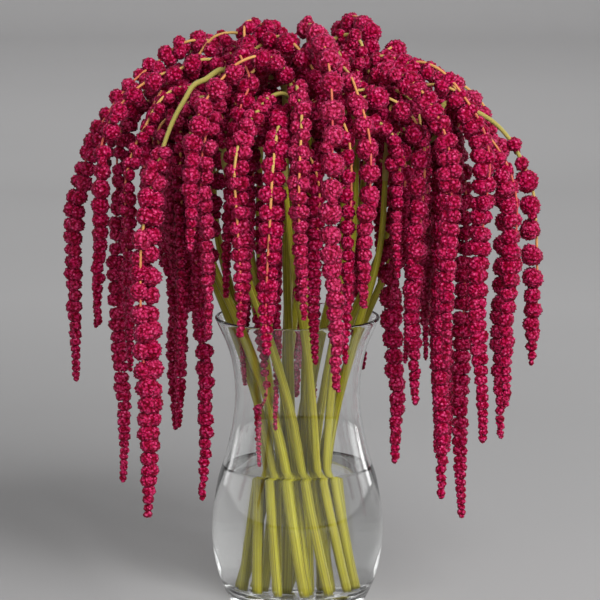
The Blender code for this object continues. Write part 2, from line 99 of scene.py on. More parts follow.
# Tassels: where each hangs, its highest and lowest points, the width of its largest beads, the
# bare stalk before them, how steeply its arch falls, and the share of its reach where it is highest
Tassel = namedtuple("Tassel", "x y apex tip girth bare fall peak", defaults=(0.035, 1.1, 0.30))
SHOWN_TASSELS = (
    Tassel(-0.199, -0.010, 0.502, 0.207, 0.021, fall=1.3, peak=0.15),
    Tassel(-0.174, -0.050, 0.488, 0.264, 0.018, fall=1.0),
    Tassel(-0.160, 0.020, 0.480, 0.107, 0.019),
    Tassel(-0.147, -0.080, 0.468, 0.228, 0.016),
    Tassel(-0.130, -0.125, 0.482, 0.108, 0.025, bare=0.165, fall=1.7),
    Tassel(-0.121, 0.030, 0.445, 0.304, 0.016),
    Tassel(-0.107, -0.020, 0.450, 0.166, 0.017),
    Tassel(-0.099, -0.075, 0.445, 0.235, 0.016),
    Tassel(-0.084, -0.050, 0.435, 0.106, 0.019),
    Tassel(-0.093, -0.140, 0.500, 0.344, 0.019),
    Tassel(-0.079, -0.120, 0.500, 0.266, 0.021),
    Tassel(-0.059, -0.110, 0.518, 0.299, 0.020),
    Tassel(-0.050, -0.140, 0.474, 0.269, 0.019, bare=0.075),
    Tassel(-0.024, -0.155, 0.462, 0.257, 0.021, bare=0.060, fall=1.3),
    Tassel(0.004, -0.165, 0.474, 0.288, 0.020, bare=0.050, fall=1.3),
    Tassel(0.031, -0.160, 0.520, 0.228, 0.022, fall=1.3),
    Tassel(0.044, -0.125, 0.470, 0.243, 0.015),
    Tassel(0.058, -0.130, 0.500, 0.293, 0.020),
    Tassel(0.016, -0.110, 0.450, 0.240, 0.015),
    Tassel(-0.034, -0.034, 0.430, 0.133, 0.011),
    Tassel(-0.046, -0.022, 0.425, 0.205, 0.010),
    Tassel(-0.019, -0.046, 0.430, 0.168, 0.012),
    Tassel(0.085, -0.042, 0.440, 0.138, 0.021),
    Tassel(0.098, 0.020, 0.425, 0.217, 0.012),
    Tassel(0.101, -0.085, 0.470, 0.199, 0.020),
    Tassel(0.116, 0.010, 0.435, 0.223, 0.012),
    Tassel(0.127, -0.060, 0.460, 0.109, 0.021),
    Tassel(0.125, 0.040, 0.450, 0.130, 0.013),
    Tassel(0.130, -0.115, 0.490, 0.242, 0.020),
    Tassel(0.147, -0.020, 0.470, 0.083, 0.020),
    Tassel(0.161, -0.065, 0.488, 0.161, 0.021),
    Tassel(0.187, -0.045, 0.462, 0.190, 0.022),
    Tassel(0.210, 0.005, 0.454, 0.218, 0.020, bare=0.150, fall=1.2),
    Tassel(0.175, 0.030, 0.482, 0.382, 0.018, bare=0.060, fall=0.85),
    Tassel(-0.135, -0.045, 0.504, 0.380, 0.020, fall=1.3),
    Tassel(0.140, -0.035, 0.484, 0.370, 0.020),
    Tassel(0.072, 0.015, 0.525, 0.440, 0.020, peak=0.6),
)

# The other tassels stand in rings: their number, the azimuths they sweep in degrees, the reaches
# they take in turn, and the ranges of their highest point, their tip and their girth. The highest
# points lie on a dome, which falls by DOME_FALL times the square of the reach
Ring = namedtuple("Ring", "count sweep reaches apex tip girth")
RINGS = (
    Ring(17, (12, 168), (0.195, 0.128, 0.168, 0.105), (0.490, 0.516), (0.110, 0.330), (0.014, 0.021)),
    Ring(5, (-188, -132), (0.122, 0.102), (0.470, 0.505), (0.255, 0.325), (0.018, 0.021)),
    Ring(5, (-48, 8), (0.122, 0.102), (0.470, 0.505), (0.255, 0.325), (0.018, 0.021)),
    Ring(5, (-130, -50), (0.084, 0.070), (0.464, 0.482), (0.290, 0.340), (0.018, 0.021)),
    Ring(6, (0, 180), (0.088, 0.060, 0.072), (0.494, 0.512), (0.370, 0.420), (0.018, 0.021)),
    Ring(6, (-173, 7), (0.072, 0.088, 0.060), (0.504, 0.522), (0.462, 0.482), (0.018, 0.021)),
)
DOME_FALL = 1.2
REACH_JITTER = 0.006
MOST_ON_A_STEM = 6
LEAST_SPAN = 0.055
SEED = 7

# How a tassel leaves its crown: depth of the crown below the lowest of the highest points, and the
# small offset between the tassels there
CROWN_DEPTH = 0.030
CROWN_LENGTH = 0.014
CROWN_SPLAY = 0.0012
STALK_RADIUS = 0.0021
SWAY = 0.003
SWAY_LENGTH = 0.26

# Bead width along a tassel, as (share of its length, share of its girth)
BEAD_PROFILE = ((0.0, 0.75), (0.10, 1.0), (0.58, 1.0), (0.82, 0.76), (1.0, 0.36))
BEAD_PITCH = 0.040
STEPS_PER_RING = 3
STEP = BEAD_PITCH / 2 / STEPS_PER_RING
LEAST_RADIUS = 0.0015

# Settling: tassels that would overlap push each other, the stems and the vase's wall aside
SETTLE_STEPS = 240
SEARCH_EVERY = 12
SEARCH_MARGIN = 0.010
SETTLE_GAP = 0.0019
FREE_STEPS = 60
PULL_HOME = 0.02
ROOTED = 0.014
FUSED_LENGTH = 0.042
POST_STEP = 0.004

# Photograph: its size in pixels, the scale at the vase's axis, and where the rim's middle lies
PHOTO_SIZE = 600
METRES_PER_PIXEL = 0.000898
RIM_PIXEL = (297.4, 315.5)
CAMERA_DISTANCE = 3.2
CAMERA_HEIGHT = 0.812
SENSOR_WIDTH = 0.036

# Fine clusters: area of a floret on their surface, how deep the creases between florets are, and
# how a cluster's lobes sit on the stalk, as shares of the tassel's half width
FLORET_AREA = 14.0e-6
FLORET_COUNTS = (18, 26, 38, 54, 76, 104, 140)
SHAPES_PER_COUNT = 4
CREASE = 0.13
FLORET_JITTER = 0.28
SEPARATE_SHARE = 0.36
EARLY = 0.012
LOBE_SIZE = 0.72
LOBE_OFFSET = 0.42

# Stalks that carry the clusters: (distance past the bare part, radius), and how far they stand
# towards the outside of the tassel there, as a share of its half width
STALK_SIDES = 6
STALK_RADII = ((-0.10, 0.0026), (0.0, 0.0019), (0.04, 0.0014), (0.12, 0.0011), (0.40, 0.0006))
STALK_PROUD = ((0.0, 0.0), (0.03, 0.30), (0.07, 0.50), (0.13, 0.50), (0.19, 0.30), (0.25, 0.0))
KNUCKLE = ((-0.010, 0.0027), (-0.002, 0.0030), (0.006, 0.0036), (0.014, 0.0033), (0.019, 0.0018))

# Ribbed stems
STEM_SIDES = 24
STEM_RIBS = 8
RIB_DEPTH = 0.022
STEM_FINE_STEP = 0.006

# Turned glass and water
GLASS_SIDES = 112
MENISCUS_HEIGHT = 0.0016
MENISCUS_REACH = 0.0030
WATER_OVERLAP = 0.0002

# Stage: how far it runs to the front, to the back and to each side, how high its wall is, the
# radius and the steps of the bend between floor and wall, and how far it lies below the vase
STAGE_FRONT = -6.5
STAGE_BACK = 6.5
STAGE_HALF = 6.5
STAGE_HEIGHT = 3.0
STAGE_BEND = 1.0
BEND_STEPS = 16
STAGE_DROP = 0.0002
# Its painted light and shade by depth, as (position, colour): grey made brighter and darker in bands
# that stand in for how the lamps fall off, how far a metre of depth moves along them, and the scale
# and the strength of the wobble in these bands
PAINTED_LIGHT_BY_DEPTH = (
    (0.07, (0.385, 0.381, 0.383)),
    (0.17, (0.370, 0.366, 0.368)),
    (0.28, (0.415, 0.411, 0.413)),
    (0.45, (0.365, 0.361, 0.363)),
    (0.86, (0.500, 0.494, 0.497)),
)
PAINTED_LIGHT_PER_METRE = 0.15
PAINTED_LIGHT_WOBBLE_SCALE = 1.3
PAINTED_LIGHT_WOBBLE = 0.5

# Lamps: where each stands and aims, its width, height and watts, and whether glass shows it
MIDDLE = (0, 0, 0.32)
Lamp = namedtuple("Lamp", "name place target width height watts seen")
LAMPS = (
    Lamp("key", (1.35, -2.3, 2.1), MIDDLE, 1.8, 1.8, 130, False),
    Lamp("fill", (-1.6, -2.6, 1.0), MIDDLE, 1.6, 1.6, 15, False),
    Lamp("wash", (0.0, 2.6, 3.2), (0.0, 5.0, 0.0), 3.0, 1.0, 80, False),
    Lamp("window", (2.2, 0.85, 0.7), MIDDLE, 0.55, 1.3, 3, True),
    Lamp("right strip", (1.25, 1.0, 0.7), MIDDLE, 0.22, 1.3, 4, True),
    Lamp("left strip", (-1.25, 1.0, 0.7), MIDDLE, 0.22, 1.3, 1.2, True),
)

# Room: its light on everything, what is added where glass lets a ray through, and what is added
# where it mirrors one, which goes from the first of MIRRORED to the second between two directions
ROOM_LIGHT = 0.19
LET_THROUGH = 0.60
MIRRORED = (-0.02, 0.70)
MIRRORED_BETWEEN = (-0.8, 0.4)



def wall_radius(height):
    """Outer radius of the vase at a height."""
    radii, heights = np.array(VASE_OUTLINE).T
    return np.interp(height, heights, radii)


def bundle_point(radius, azimuth, height):
    """Where a stem that stands at (radius, azimuth) in the waist passes a height."""
    heights, spreads = np.array(BUNDLE_SPREAD).T
    reach = radius * np.interp(height, heights, spreads)
    turn = azimuth + TWIST * math.tanh((height - WAIST_HEIGHT) / TWIST_HEIGHT)
    return np.array([reach * math.cos(turn), reach * math.sin(turn), height])


def plan_stems():
    """Each stem as (waist radius, waist azimuth, radius of the stem, usual height of its top)."""
    draw = random.Random(SEED)
    stems = []
    for count, radius, first, top in STEM_RINGS:
        for k in range(count):
            azimuth = math.radians(first + 360 * k / count + draw.uniform(-2, 2))
            stems.append((radius, azimuth, draw.uniform(*STEM_DIAMETERS) / 2, top))
    return stems


def plan_ring(ring, draw):
    """The tassels of one ring, evenly spaced round it."""
    first, last = ring.sweep
    tassels = []
    for k in range(ring.count):
        azimuth = math.radians(first + (last - first) * (k + 0.5) / ring.count)
        reach = ring.reaches[k % len(ring.reaches)] + draw.uniform(-REACH_JITTER, REACH_JITTER)
        x, y = reach * math.cos(azimuth), reach * math.sin(azimuth)
        apex, tip, girth = (draw.uniform(*span) for span in (ring.apex, ring.tip, ring.girth))
        tassels.append(Tassel(x, y, apex - DOME_FALL * reach**2, tip, girth))
    return tassels


def share_out(tassels, stems):
    """For each stem, the tassels that grow from it: those that suit its place and height best."""
    tops = [bundle_point(radius, azimuth, top) for radius, azimuth, _, top in stems]
    shares = [[] for _ in stems]
    for tassel in sorted(tassels, key=lambda t: -math.hypot(t.x, t.y)):

        def cost(k):
            if len(shares[k]) == MOST_ON_A_STEM:
                return math.inf
            away = math.hypot(tops[k][0] - 0.4 * tassel.x, tops[k][1] - 0.4 * tassel.y)
            span = math.hypot(tops[k][0] - tassel.x, tops[k][1] - tassel.y)
            lift = abs(tops[k][2] + CROWN_DEPTH - tassel.apex)
            cramped = max(0, LEAST_SPAN - span)
            return away + 1.6 * lift + 4 * cramped + 0.005 * len(shares[k]) ** 2

        shares[min(range(len(stems)), key=cost)].append(tassel)
    return shares


def resample(points, step):
    """Points about a step apart along a line of points, with both its ends."""
    points = np.asarray(points)
    lengths = np.concatenate([[0], np.cumsum(np.linalg.norm(np.diff(points, axis=0), axis=1))])
    at = np.linspace(0, lengths[-1], max(3, round(lengths[-1] / step) + 1))
    return np.column_stack([np.interp(at, lengths, points[:, k]) for k in range(3)])


def stem_line(radius, azimuth, thickness, top):
    """A stem's line from the vase's floor, where its cut end just clears it, up to its top."""
    foot = bundle_point(radius, azimuth, FLOOR_HEIGHT)
    second = bundle_point(radius, azimuth, STEM_HEIGHTS[0])
    lean = math.hypot(*(second - foot)[:2]) / math.dist(foot, second)
    start = FLOOR_HEIGHT + GAP + thickness * lean
    between = [height for height in STEM_HEIGHTS if height < top - 0.015]
    return np.array([bundle_point(radius, azimuth, z) for z in (start, *between, top)])


def stem_radii(line, thickness):
    """A stem's radius at each of its points: it tapers above the vase."""
    return thickness * np.interp(line[:, 2], (TAPER_FROM, line[-1, 2]), (1, STEM_TAPER))


def tassel_line(tassel, crown, leaving, phase):
    """A tassel's line from its crown, over its highest point and down to its tip."""
    across = (np.array([tassel.x, tassel.y, 0]) - crown) * (1, 1, 0)
    apex = crown + tassel.peak * across
    apex[2] = tassel.apex
    lift = crown + leaving * 0.6 * (tassel.apex - crown[2])
    level = apex - 0.5 * tassel.peak * across
    t = np.linspace(0, 1, 12, endpoint=False)[:, None]
    climb = (
        (1 - t) ** 3 * crown
        + 3 * (1 - t) ** 2 * t * lift
        + 3 * (1 - t) * t**2 * level
        + t**3 * apex
    )
    turn = np.linspace(0, math.pi / 2, 24)
    arch = apex + (1 - tassel.peak) * across * np.sin(turn)[:, None]
    drop = tassel.fall * (1 - tassel.peak) * np.linalg.norm(across)
    arch[:, 2] -= drop * (1 - np.cos(turn))
    arch = arch[arch[:, 2] > tassel.tip]
    end = [arch[-1, 0], arch[-1, 1], min(tassel.tip, arch[-1, 2] - STEP)]
    line = resample(np.vstack([climb, arch, end]), STEP)
    along = np.arange(len(line)) * STEP
    swing = SWAY * np.minimum(1, along / 0.15) * np.sin(along / SWAY_LENGTH * math.tau + phase)
    line[:, 0] += swing * math.cos(1.7 * phase)
    line[:, 1] += swing * math.sin(1.7 * phase)
    return line


def tassel_radii(tassel, count):
    """Radius of a tassel's beads, or of its bare stalk, at each of its points."""
    shares, widths = np.array(BEAD_PROFILE).T
    along = np.arange(count) * STEP
    share = np.clip((along - tassel.bare) / (along[-1] - tassel.bare), 0, 1)
    full = tassel.girth / 2 * np.interp(share, shares, widths)
    beaded = np.clip((along - tassel.bare + STEP) / (2 * STEP), 0, 1)
    return STALK_RADIUS + beaded * (full - STALK_RADIUS)


def close_pairs(a, a_radii, b, b_radii):
    """Indices of the points of a and b whose balls nearly meet."""
    squares = (a**2).sum(1)[:, None] + (b**2).sum(1) - 2 * a @ b.T
    return np.nonzero(squares < (a_radii[:, None] + b_radii + SEARCH_MARGIN) ** 2)


def wall_push(points, radii, inside):
    """Moves that keep points clear of the vase: outside its wall, or inside it."""
    reach = np.hypot(points[:, 0], points[:, 1]) + 1e-9
    wall = wall_radius(points[:, 2])
    out = np.maximum(0, wall + radii + SETTLE_GAP - reach)
    back = np.minimum(0, wall - WALL - radii - SETTLE_GAP - reach)
    low = points[:, 2] < RIM_TOP + radii + SETTLE_GAP
    move = low * np.where(inside, back, out) / reach
    return np.column_stack([points[:, 0] * move, points[:, 1] * move, 0 * move])


def ring_places(count, bare):
    """Which of a tassel's points carry a ring: a few on its stalk, then two for each bead."""
    first = round(bare / STEP)
    return [*range(0, first, STEPS_PER_RING), *range(first, count, STEPS_PER_RING)]


def straightened(line, bare):
    """A tassel's points moved onto the straight runs between its rings."""
    rings = ring_places(len(line), bare)
    at = np.arange(len(line))
    return np.column_stack([np.interp(at, rings, column) for column in line[rings].T])


def settle(lines, radii, bares, heads, posts, post_radii, post_heads):
    """The tassels' lines moved clear of each other, of the stems and of the vase.

    Tassels of one head may touch near their crown, where they grow together. Returns the lines,
    and radii that are reduced wherever two tassels still press on each other.
    """
    ends = np.cumsum([len(line) for line in lines])[:-1]
    counts = [len(line) for line in lines]
    points, sizes = np.vstack(lines), np.concatenate(radii)
    home = points.copy()
    head, strand = np.repeat(heads, counts), np.repeat(np.arange(len(lines)), counts)
    along = np.concatenate([np.arange(count) * STEP for count in counts])
    loose = np.clip((along - ROOTED) / ROOTED, 0, 1)[:, None]
    hangs_inside = [math.hypot(*line[-1][:2]) < VASE_OUTLINE[-1][0] - 0.012 for line in lines]
    inside = np.repeat(hangs_inside, counts)

    def contacts():
        i, j = close_pairs(points, sizes, points, sizes)
        fused = (head[i] == head[j]) & (np.minimum(along[i], along[j]) < FUSED_LENGTH)
        keep = (i < j) & (strand[i] != strand[j]) & ~fused
        p, q = close_pairs(points, sizes, posts, post_radii)
        grown = (head[p] == post_heads[q]) & (along[p] < FUSED_LENGTH)
        return i[keep], j[keep], p[~grown], q[~grown]

    def overlap(a, b, room):
        apart = np.linalg.norm(a - b, axis=1) + 1e-9
        return np.maximum(0, room - apart), (a - b) / apart[:, None]

    for step in range(SETTLE_STEPS):
        if step % SEARCH_EVERY == 0:
            i, j, p, q = contacts()
        push = wall_push(points, sizes, inside)
        touches = np.ones(len(points))
        deep, way = overlap(points[i], points[j], sizes[i] + sizes[j] + SETTLE_GAP)
        np.add.at(push, i, way * deep[:, None] / 2)
        np.add.at(push, j, -way * deep[:, None] / 2)
        np.add.at(touches, i, deep > 0)
        np.add.at(touches, j, deep > 0)
        deep, way = overlap(points[p], posts[q], sizes[p] + post_radii[q] + SETTLE_GAP)
        np.add.at(push, p, way * deep[:, None])
        np.add.at(touches, p, deep > 0)
        push /= np.sqrt(touches)[:, None]
        for part in np.split(push, ends):
            for _ in range(3):
                part[1:-1] = 0.25 * part[:-2] + 0.5 * part[1:-1] + 0.25 * part[2:]
        if step < SETTLE_STEPS - FREE_STEPS:
            push += PULL_HOME * (home - points)
        points += loose * push

    settled = np.split(points.copy(), ends)
    points[:] = np.vstack([straightened(line, bare) for line, bare in zip(settled, bares)])
    i, j, p, q = contacts()
    safe = sizes.copy()
    apart = np.linalg.norm(points[i] - points[j], axis=1) - SETTLE_GAP
    share = np.minimum(1, apart / (sizes[i] + sizes[j]))
    np.minimum.at(safe, i, share * sizes[i])
    np.minimum.at(safe, j, share * sizes[j])
    apart = np.linalg.norm(points[p] - posts[q], axis=1) - SETTLE_GAP
    np.minimum.at(safe, p, apart - post_radii[q])
    safe -= np.linalg.norm(wall_push(points, sizes, inside), axis=1)
    return settled, np.split(np.maximum(safe, LEAST_RADIUS), ends)


def plan_bunch():
    """The stems' lines and radii, and each head's tassel lines and radii, all clear of each other."""
    draw = random.Random(SEED + 2)
    stems = plan_stems()
    ringed = [tassel for ring in RINGS for tassel in plan_ring(ring, draw)]
    shares = share_out([*SHOWN_TASSELS, *ringed], stems)
    stem_lines, stem_sizes = [], []
    lines, radii, heads, bares = [], [], [], []
    for k, ((radius, azimuth, thickness, top), share) in enumerate(zip(stems, shares)):
        top = min([top] + [tassel.apex - CROWN_DEPTH for tassel in share])
        stem = stem_line(radius, azimuth, thickness, top)
        stem_lines.append(stem)
        stem_sizes.append(stem_radii(stem, thickness))
        leaving = (stem[-1] - stem[-2]) / np.linalg.norm(stem[-1] - stem[-2])
        for n, tassel in enumerate(share):
            bearing = math.tau * n / len(share)
            offset = CROWN_SPLAY * np.array([math.cos(bearing), math.sin(bearing), 0])
            crown = stem[-1] + leaving * (0.25 + 0.12 * n) * CROWN_LENGTH + offset
            line = tassel_line(tassel, crown, leaving, draw.uniform(0, math.tau))
            lines.append(line)
            radii.append(tassel_radii(tassel, len(line)))
            heads.append(k)
            bares.append(tassel.bare)
    posts = [resample(line, POST_STEP) for line in stem_lines]
    post_radii = [np.full(len(p), sizes.max()) for p, sizes in zip(posts, stem_sizes)]
    post_heads = np.repeat(np.arange(len(posts)), [len(p) for p in posts])
    lines, radii = settle(
        lines, radii, bares, heads, np.vstack(posts), np.concatenate(post_radii), post_heads
    )
    sprays = [[] for _ in stems]
    for head, line, sizes, bare in zip(heads, lines, radii, bares):
        sprays[head].append((line, sizes, bare))
    return list(zip(stem_lines, stem_sizes)), sprays


def smooth_line(points, step):
    """Points a step apart on a smooth curve through the given points."""
    points = np.asarray(points, float)
    padded = np.vstack([2 * points[0] - points[1], points, 2 * points[-1] - points[-2]])
    t = np.linspace(0, 1, 8, endpoint=False)[:, None]
    pieces = []
    for a, b, c, d in zip(padded, padded[1:], padded[2:], padded[3:]):
        pieces.append(
            b
            + 0.5 * t * (c - a)
            + t**2 * (a - 2.5 * b + 2 * c - 0.5 * d)
            + t**3 * (1.5 * b - 0.5 * a - 1.5 * c + 0.5 * d)
        )
    line = np.vstack([*pieces, points[-1]])
    lengths = np.concatenate([[0], np.cumsum(np.linalg.norm(np.diff(line, axis=0), axis=1))])
    at = np.linspace(0, lengths[-1], max(3, round(lengths[-1] / step) + 1))
    return np.column_stack([np.interp(at, lengths, column) for column in line.T])


def frames_along(line):
    """Unit directions along, beside and outward of a line, turned as little as possible."""
    ahead = np.gradient(line, axis=0)
    ahead /= np.linalg.norm(ahead, axis=1)[:, None]
    reach = (line[-1] - line[0]) * (1, 1, 0)
    side = np.cross((0, 0, 1), reach)
    sides = []
    for direction in ahead:
        side = side - direction * (side @ direction)
        side = side / np.linalg.norm(side)
        sides.append(side)
    sides = np.array(sides)
    return ahead, sides, np.cross(ahead, sides)


def mesh_object(name, points, faces, material, attributes):
    """A smooth-shaded piece that rides on the frame, with point attributes for its material."""
    mesh = bpy.data.meshes.new(name)
    mesh.from_pydata(points.tolist(), [], faces)
    for label, values in attributes:
        layer = mesh.attributes.new(label, "FLOAT", "POINT")
        layer.data.foreach_set("value", np.asarray(values, np.float32))
    mesh.shade_smooth()
    mesh.materials.append(material)
    piece = bpy.data.objects.new(name, mesh)
    bpy.context.collection.objects.link(piece)
    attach(piece, "root")
    return piece


def floret_ball(count, draw):
    """A unit ball covered in florets: a peak for each, and creases where neighbours meet."""
    order = np.arange(count) + 0.5
    polar = np.arccos(1 - 2 * order / count)
    azimuth = math.pi * (1 + 5**0.5) * order
    peaks = np.column_stack(
        [np.cos(azimuth) * np.sin(polar), np.sin(azimuth) * np.sin(polar), np.cos(polar)]
    )
    spacing = math.sqrt(4 * math.pi / count)
    peaks += draw.normal(0, FLORET_JITTER * spacing, peaks.shape)
    peaks /= np.linalg.norm(peaks, axis=1)[:, None]
    hull = bmesh.new()
    for peak in peaks:
        hull.verts.new(peak)
    bmesh.ops.convex_hull(hull, input=hull.verts)
    hull.verts.index_update()
    hull.faces.index_update()
    creases = np.array([face.calc_center_median().normalized() for face in hull.faces])
    faces = []
    for edge in hull.edges:
        one, other = (face.index + count for face in edge.link_faces)
        a, b = (vert.index for vert in edge.verts)
        faces += [(a, one, other), (b, other, one)]
    centres = np.array([vert.co for vert in hull.verts])
    hull.free()
    lobes = draw.normal(0, 1, (3, 3))
    lobes /= np.linalg.norm(lobes, axis=1)[:, None]
    swell = 1 + 0.07 * np.sin(2.6 * centres @ lobes[0] + 1) + 0.05 * np.sin(4 * centres @ lobes[1])
    crease_swell = 1 + 0.07 * np.sin(2.6 * creases @ lobes[0] + 1)
    height = swell * draw.uniform(0.96, 1.04, count)
    depth = (1 - CREASE) * crease_swell * draw.uniform(0.95, 1.03, len(creases))
    points = np.vstack([centres * height[:, None], creases * depth[:, None]])
    faces = np.array(faces)
    corners = points[faces]
    normals = np.cross(corners[:, 1] - corners[:, 0], corners[:, 2] - corners[:, 0])
    inward = (normals * corners.sum(1)).sum(1) < 0
    faces[inward] = faces[inward][:, ::-1]
    # Relief: high on the peaks, low in the creases; the seed material turns it into painted highlight
    # and painted shade
    relief = np.concatenate([draw.uniform(0.6, 1.0, count), draw.uniform(0.0, 0.2, len(creases))])
    return points, faces, relief


def cluster_spots(line, widths, bare, draw):
    """Where a tassel's lobes sit, as (centre, radius).

    Some tassels are strung with single balls, which stand apart high up. The others carry lobes in
    twos and threes round the stalk. Both close up towards the tip.
    """
    ahead, side, out = frames_along(line)
    length = STEP * (len(line) - 1)
    at = np.arange(len(line)) * STEP
    separate = draw.random() < SEPARATE_SHARE
    turn, drift = draw.uniform(-0.6, 0.6), draw.uniform(-5.0, 5.0)
    spots = []
    along = bare - EARLY
    while along < length - 0.5 * widths[-1]:
        width = np.interp(max(along, bare + STEP), at, widths)
        tight = np.clip((along - bare) / (length - bare) / 0.35 - 1, 0, 1)
        middle, forward, beside, outward = (
            np.array([np.interp(along, at, column) for column in rows.T])
            for rows in (line, ahead, side, out)
        )

        def lobe(angle, offset, slip, radius):
            across = math.cos(angle) * beside + math.sin(angle) * outward
            spots.append((middle + width * (offset * across + slip * forward), radius * width))

        if separate:
            lobe(draw.uniform(0, math.tau), 0.12, 0.0, draw.uniform(0.92, 1.08))
            if draw.random() < 0.4:
                lobe(draw.uniform(0, math.tau), 0.55, draw.uniform(0.7, 1.0), draw.uniform(0.42, 0.56))
            along += width * (2.28 - 0.85 * tight) * draw.uniform(0.93, 1.07)
        else:
            count = 3 if draw.random() < 0.3 * (1 - tight) else 2
            for m in range(count):
                angle = turn + drift * along + math.tau * m / count + draw.normal(0, 0.22)
                slip = draw.uniform(-0.22, 0.22) * (1 - 0.6 * tight)
                size = (LOBE_SIZE + 0.05 * tight) * draw.uniform(0.88, 1.10)
                lobe(angle, LOBE_OFFSET - 0.12 * tight, slip, size)
            along += width * (1.34 - 0.18 * tight) * draw.uniform(0.95, 1.05)
    tip = widths[-1] * 0.8
    spots.append((line[-1] - tip * ahead[-1] * 0.8, tip))
    return spots


def make_clusters(name, tassels, balls, material, draw):
    """All the floret clusters of one seed head, as one piece."""
    points, faces, relief, tint = [], [], [], []
    start = 0
    for line, widths, bare, paleness in tassels:
        for centre, radius in cluster_spots(line, widths, bare, draw):
            wanted = 4 * math.pi * radius**2 / FLORET_AREA
            count = min(FLORET_COUNTS, key=lambda n: abs(n - wanted))
            ball, ball_faces, ball_relief = balls[count][draw.integers(SHAPES_PER_COUNT)]
            turned, upper = np.linalg.qr(draw.normal(0, 1, (3, 3)))
            turned *= np.sign(np.diag(upper))
            if np.linalg.det(turned) < 0:
                turned[:, 0] *= -1
            points.append(centre + radius * ball @ turned.T)
            faces.append(ball_faces + start)
            relief.append(ball_relief)
            tint.append(np.full(len(ball), paleness + draw.normal(0, 0.08)))
            start += len(ball)
    return mesh_object(
        name,
        np.vstack(points),
        np.vstack(faces).tolist(),
        material,
        (("relief", np.concatenate(relief)), ("tint", np.concatenate(tint))),
    )


def swept(line, radii, sides, ribs=0, rib_depth=0.0):
    """Points and faces of a capped tube along a line, with lengthwise ribs if wanted."""
    _, side, out = frames_along(line)
    angles = np.arange(sides) * math.tau / sides
    profile = 1 + rib_depth * np.cos(ribs * angles)
    ring = (
        np.cos(angles)[None, :, None] * side[:, None] + np.sin(angles)[None, :, None] * out[:, None]
    )
    points = line[:, None] + ring * (radii[:, None] * profile[None])[:, :, None]
    count = len(line)
    index = np.arange(count * sides).reshape(count, sides)
    following = np.roll(index, -1, axis=1)
    quads = np.stack([index[:-1], following[:-1], following[1:], index[1:]], -1).reshape(-1, 4)
    first, last = count * sides, count * sides + 1
    caps = [(first, b, a) for a, b in zip(index[0], following[0])]
    caps += [(last, a, b) for a, b in zip(index[-1], following[-1])]
    points = np.vstack([points.reshape(-1, 3), line[0], line[-1]])
    faces = [tuple(quad) for quad in quads.tolist()] + [tuple(map(int, cap)) for cap in caps]
    return points, faces, np.concatenate([np.repeat(np.arange(count), sides), [0, count - 1]])


def swept_piece(name, parts, material, labels):
    """One piece from several swept tubes; labels name a point value worked out for each."""
    points, faces, values = [], [], {label: [] for label in labels}
    start = 0
    for tube_points, tube_faces, tube_values in parts:
        points.append(tube_points)
        faces += [tuple(k + start for k in face) for face in tube_faces]
        for label in labels:
            values[label].append(tube_values[label])
        start += len(tube_points)
    attributes = [(label, np.concatenate(values[label])) for label in labels]
    return mesh_object(name, np.vstack(points), faces, material, attributes)


def make_stalks(name, stem, tassels, material, draw):
    """The knuckle on a stem's top and the stalks that leave it, green first and rosy further down."""
    leaving = (stem[-1] - stem[-2]) / np.linalg.norm(stem[-1] - stem[-2])
    rises, sizes = np.array(KNUCKLE).T
    points, faces, rows = swept(stem[-1] + leaving * rises[:, None], sizes, 2 * STALK_SIDES)
    parts = [(points, faces, {"rosy": 0.0 * rows})]
    distances, sizes = np.array(STALK_RADII).T
    places, shares = np.array(STALK_PROUD).T
    for line, widths, bare, _ in tassels:
        _, _, out = frames_along(line)
        at = np.arange(len(line)) * STEP
        proud = np.interp(at - bare, places, shares) * widths * draw.uniform(0.5, 1.15)
        fine = smooth_line(line + out * proud[:, None], 0.0035)
        along = np.linspace(0, at[-1], len(fine))
        radii = np.interp(along - bare, distances, sizes)
        radii[-3:] *= (0.9, 0.7, 0.4)
        points, faces, rows = swept(fine, radii, STALK_SIDES)
        rosy = np.clip((along[rows] - bare) / 0.17, 0, 1)
        parts.append((points, faces, {"rosy": rosy}))
    return swept_piece(name, parts, material, ("rosy",))


def make_stem(name, line, radii, material, draw):
    """A ribbed green stem with a faint bend and slightly swollen joints."""
    fine = smooth_line(line, STEM_FINE_STEP)
    widths = np.interp(fine[:, 2], line[:, 2], radii)
    joint = draw.uniform(0.05, 0.13)
    while joint < line[-1, 2]:
        widths = widths * (1 + 0.05 * np.exp(-(((fine[:, 2] - joint) / 0.006) ** 2)))
        joint += draw.uniform(0.09, 0.16)
    widths = widths * (1 + 0.02 * np.sin(fine[:, 2] * 90 + draw.uniform(0, 6)))
    widths[0] *= 0.93
    points, faces, rows = swept(fine, widths, STEM_SIDES, STEM_RIBS, RIB_DEPTH)
    around = np.concatenate([np.tile(np.arange(STEM_SIDES), len(fine)), [0, 0]])
    angle = around * math.tau / STEM_SIDES
    values = {
        "round_x": np.cos(angle) + draw.uniform(0, 50),
        "round_y": np.sin(angle),
        "lengthwise": rows * STEM_FINE_STEP,
    }
    return swept_piece(name, [(points, faces, values)], material, tuple(values))


def turned_piece(name, profile, material):
    """A finely turned piece from a closed profile that runs down its outer side."""
    mesh = bpy.data.meshes.new(name)
    edges = [(k, k + 1) for k in range(len(profile) - 1)]
    mesh.from_pydata([(radius, 0, height) for radius, height in profile], edges, [])
    mesh.materials.append(material)
    piece = bpy.data.objects.new(name, mesh)
    bpy.context.collection.objects.link(piece)
    screw = piece.modifiers.new("turn", "SCREW")
    screw.axis = "Z"
    screw.steps = screw.render_steps = GLASS_SIDES
    screw.use_merge_vertices = True
    screw.merge_threshold = 0.00001
    screw.use_smooth_shade = True
    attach(piece, "root")
    return piece


def spline(points, steps):
    """A smooth curve through (radius, height) points."""
    line = smooth_line([(r, 0, z) for r, z in points], steps)
    return [(float(r), float(z)) for r, _, z in line]


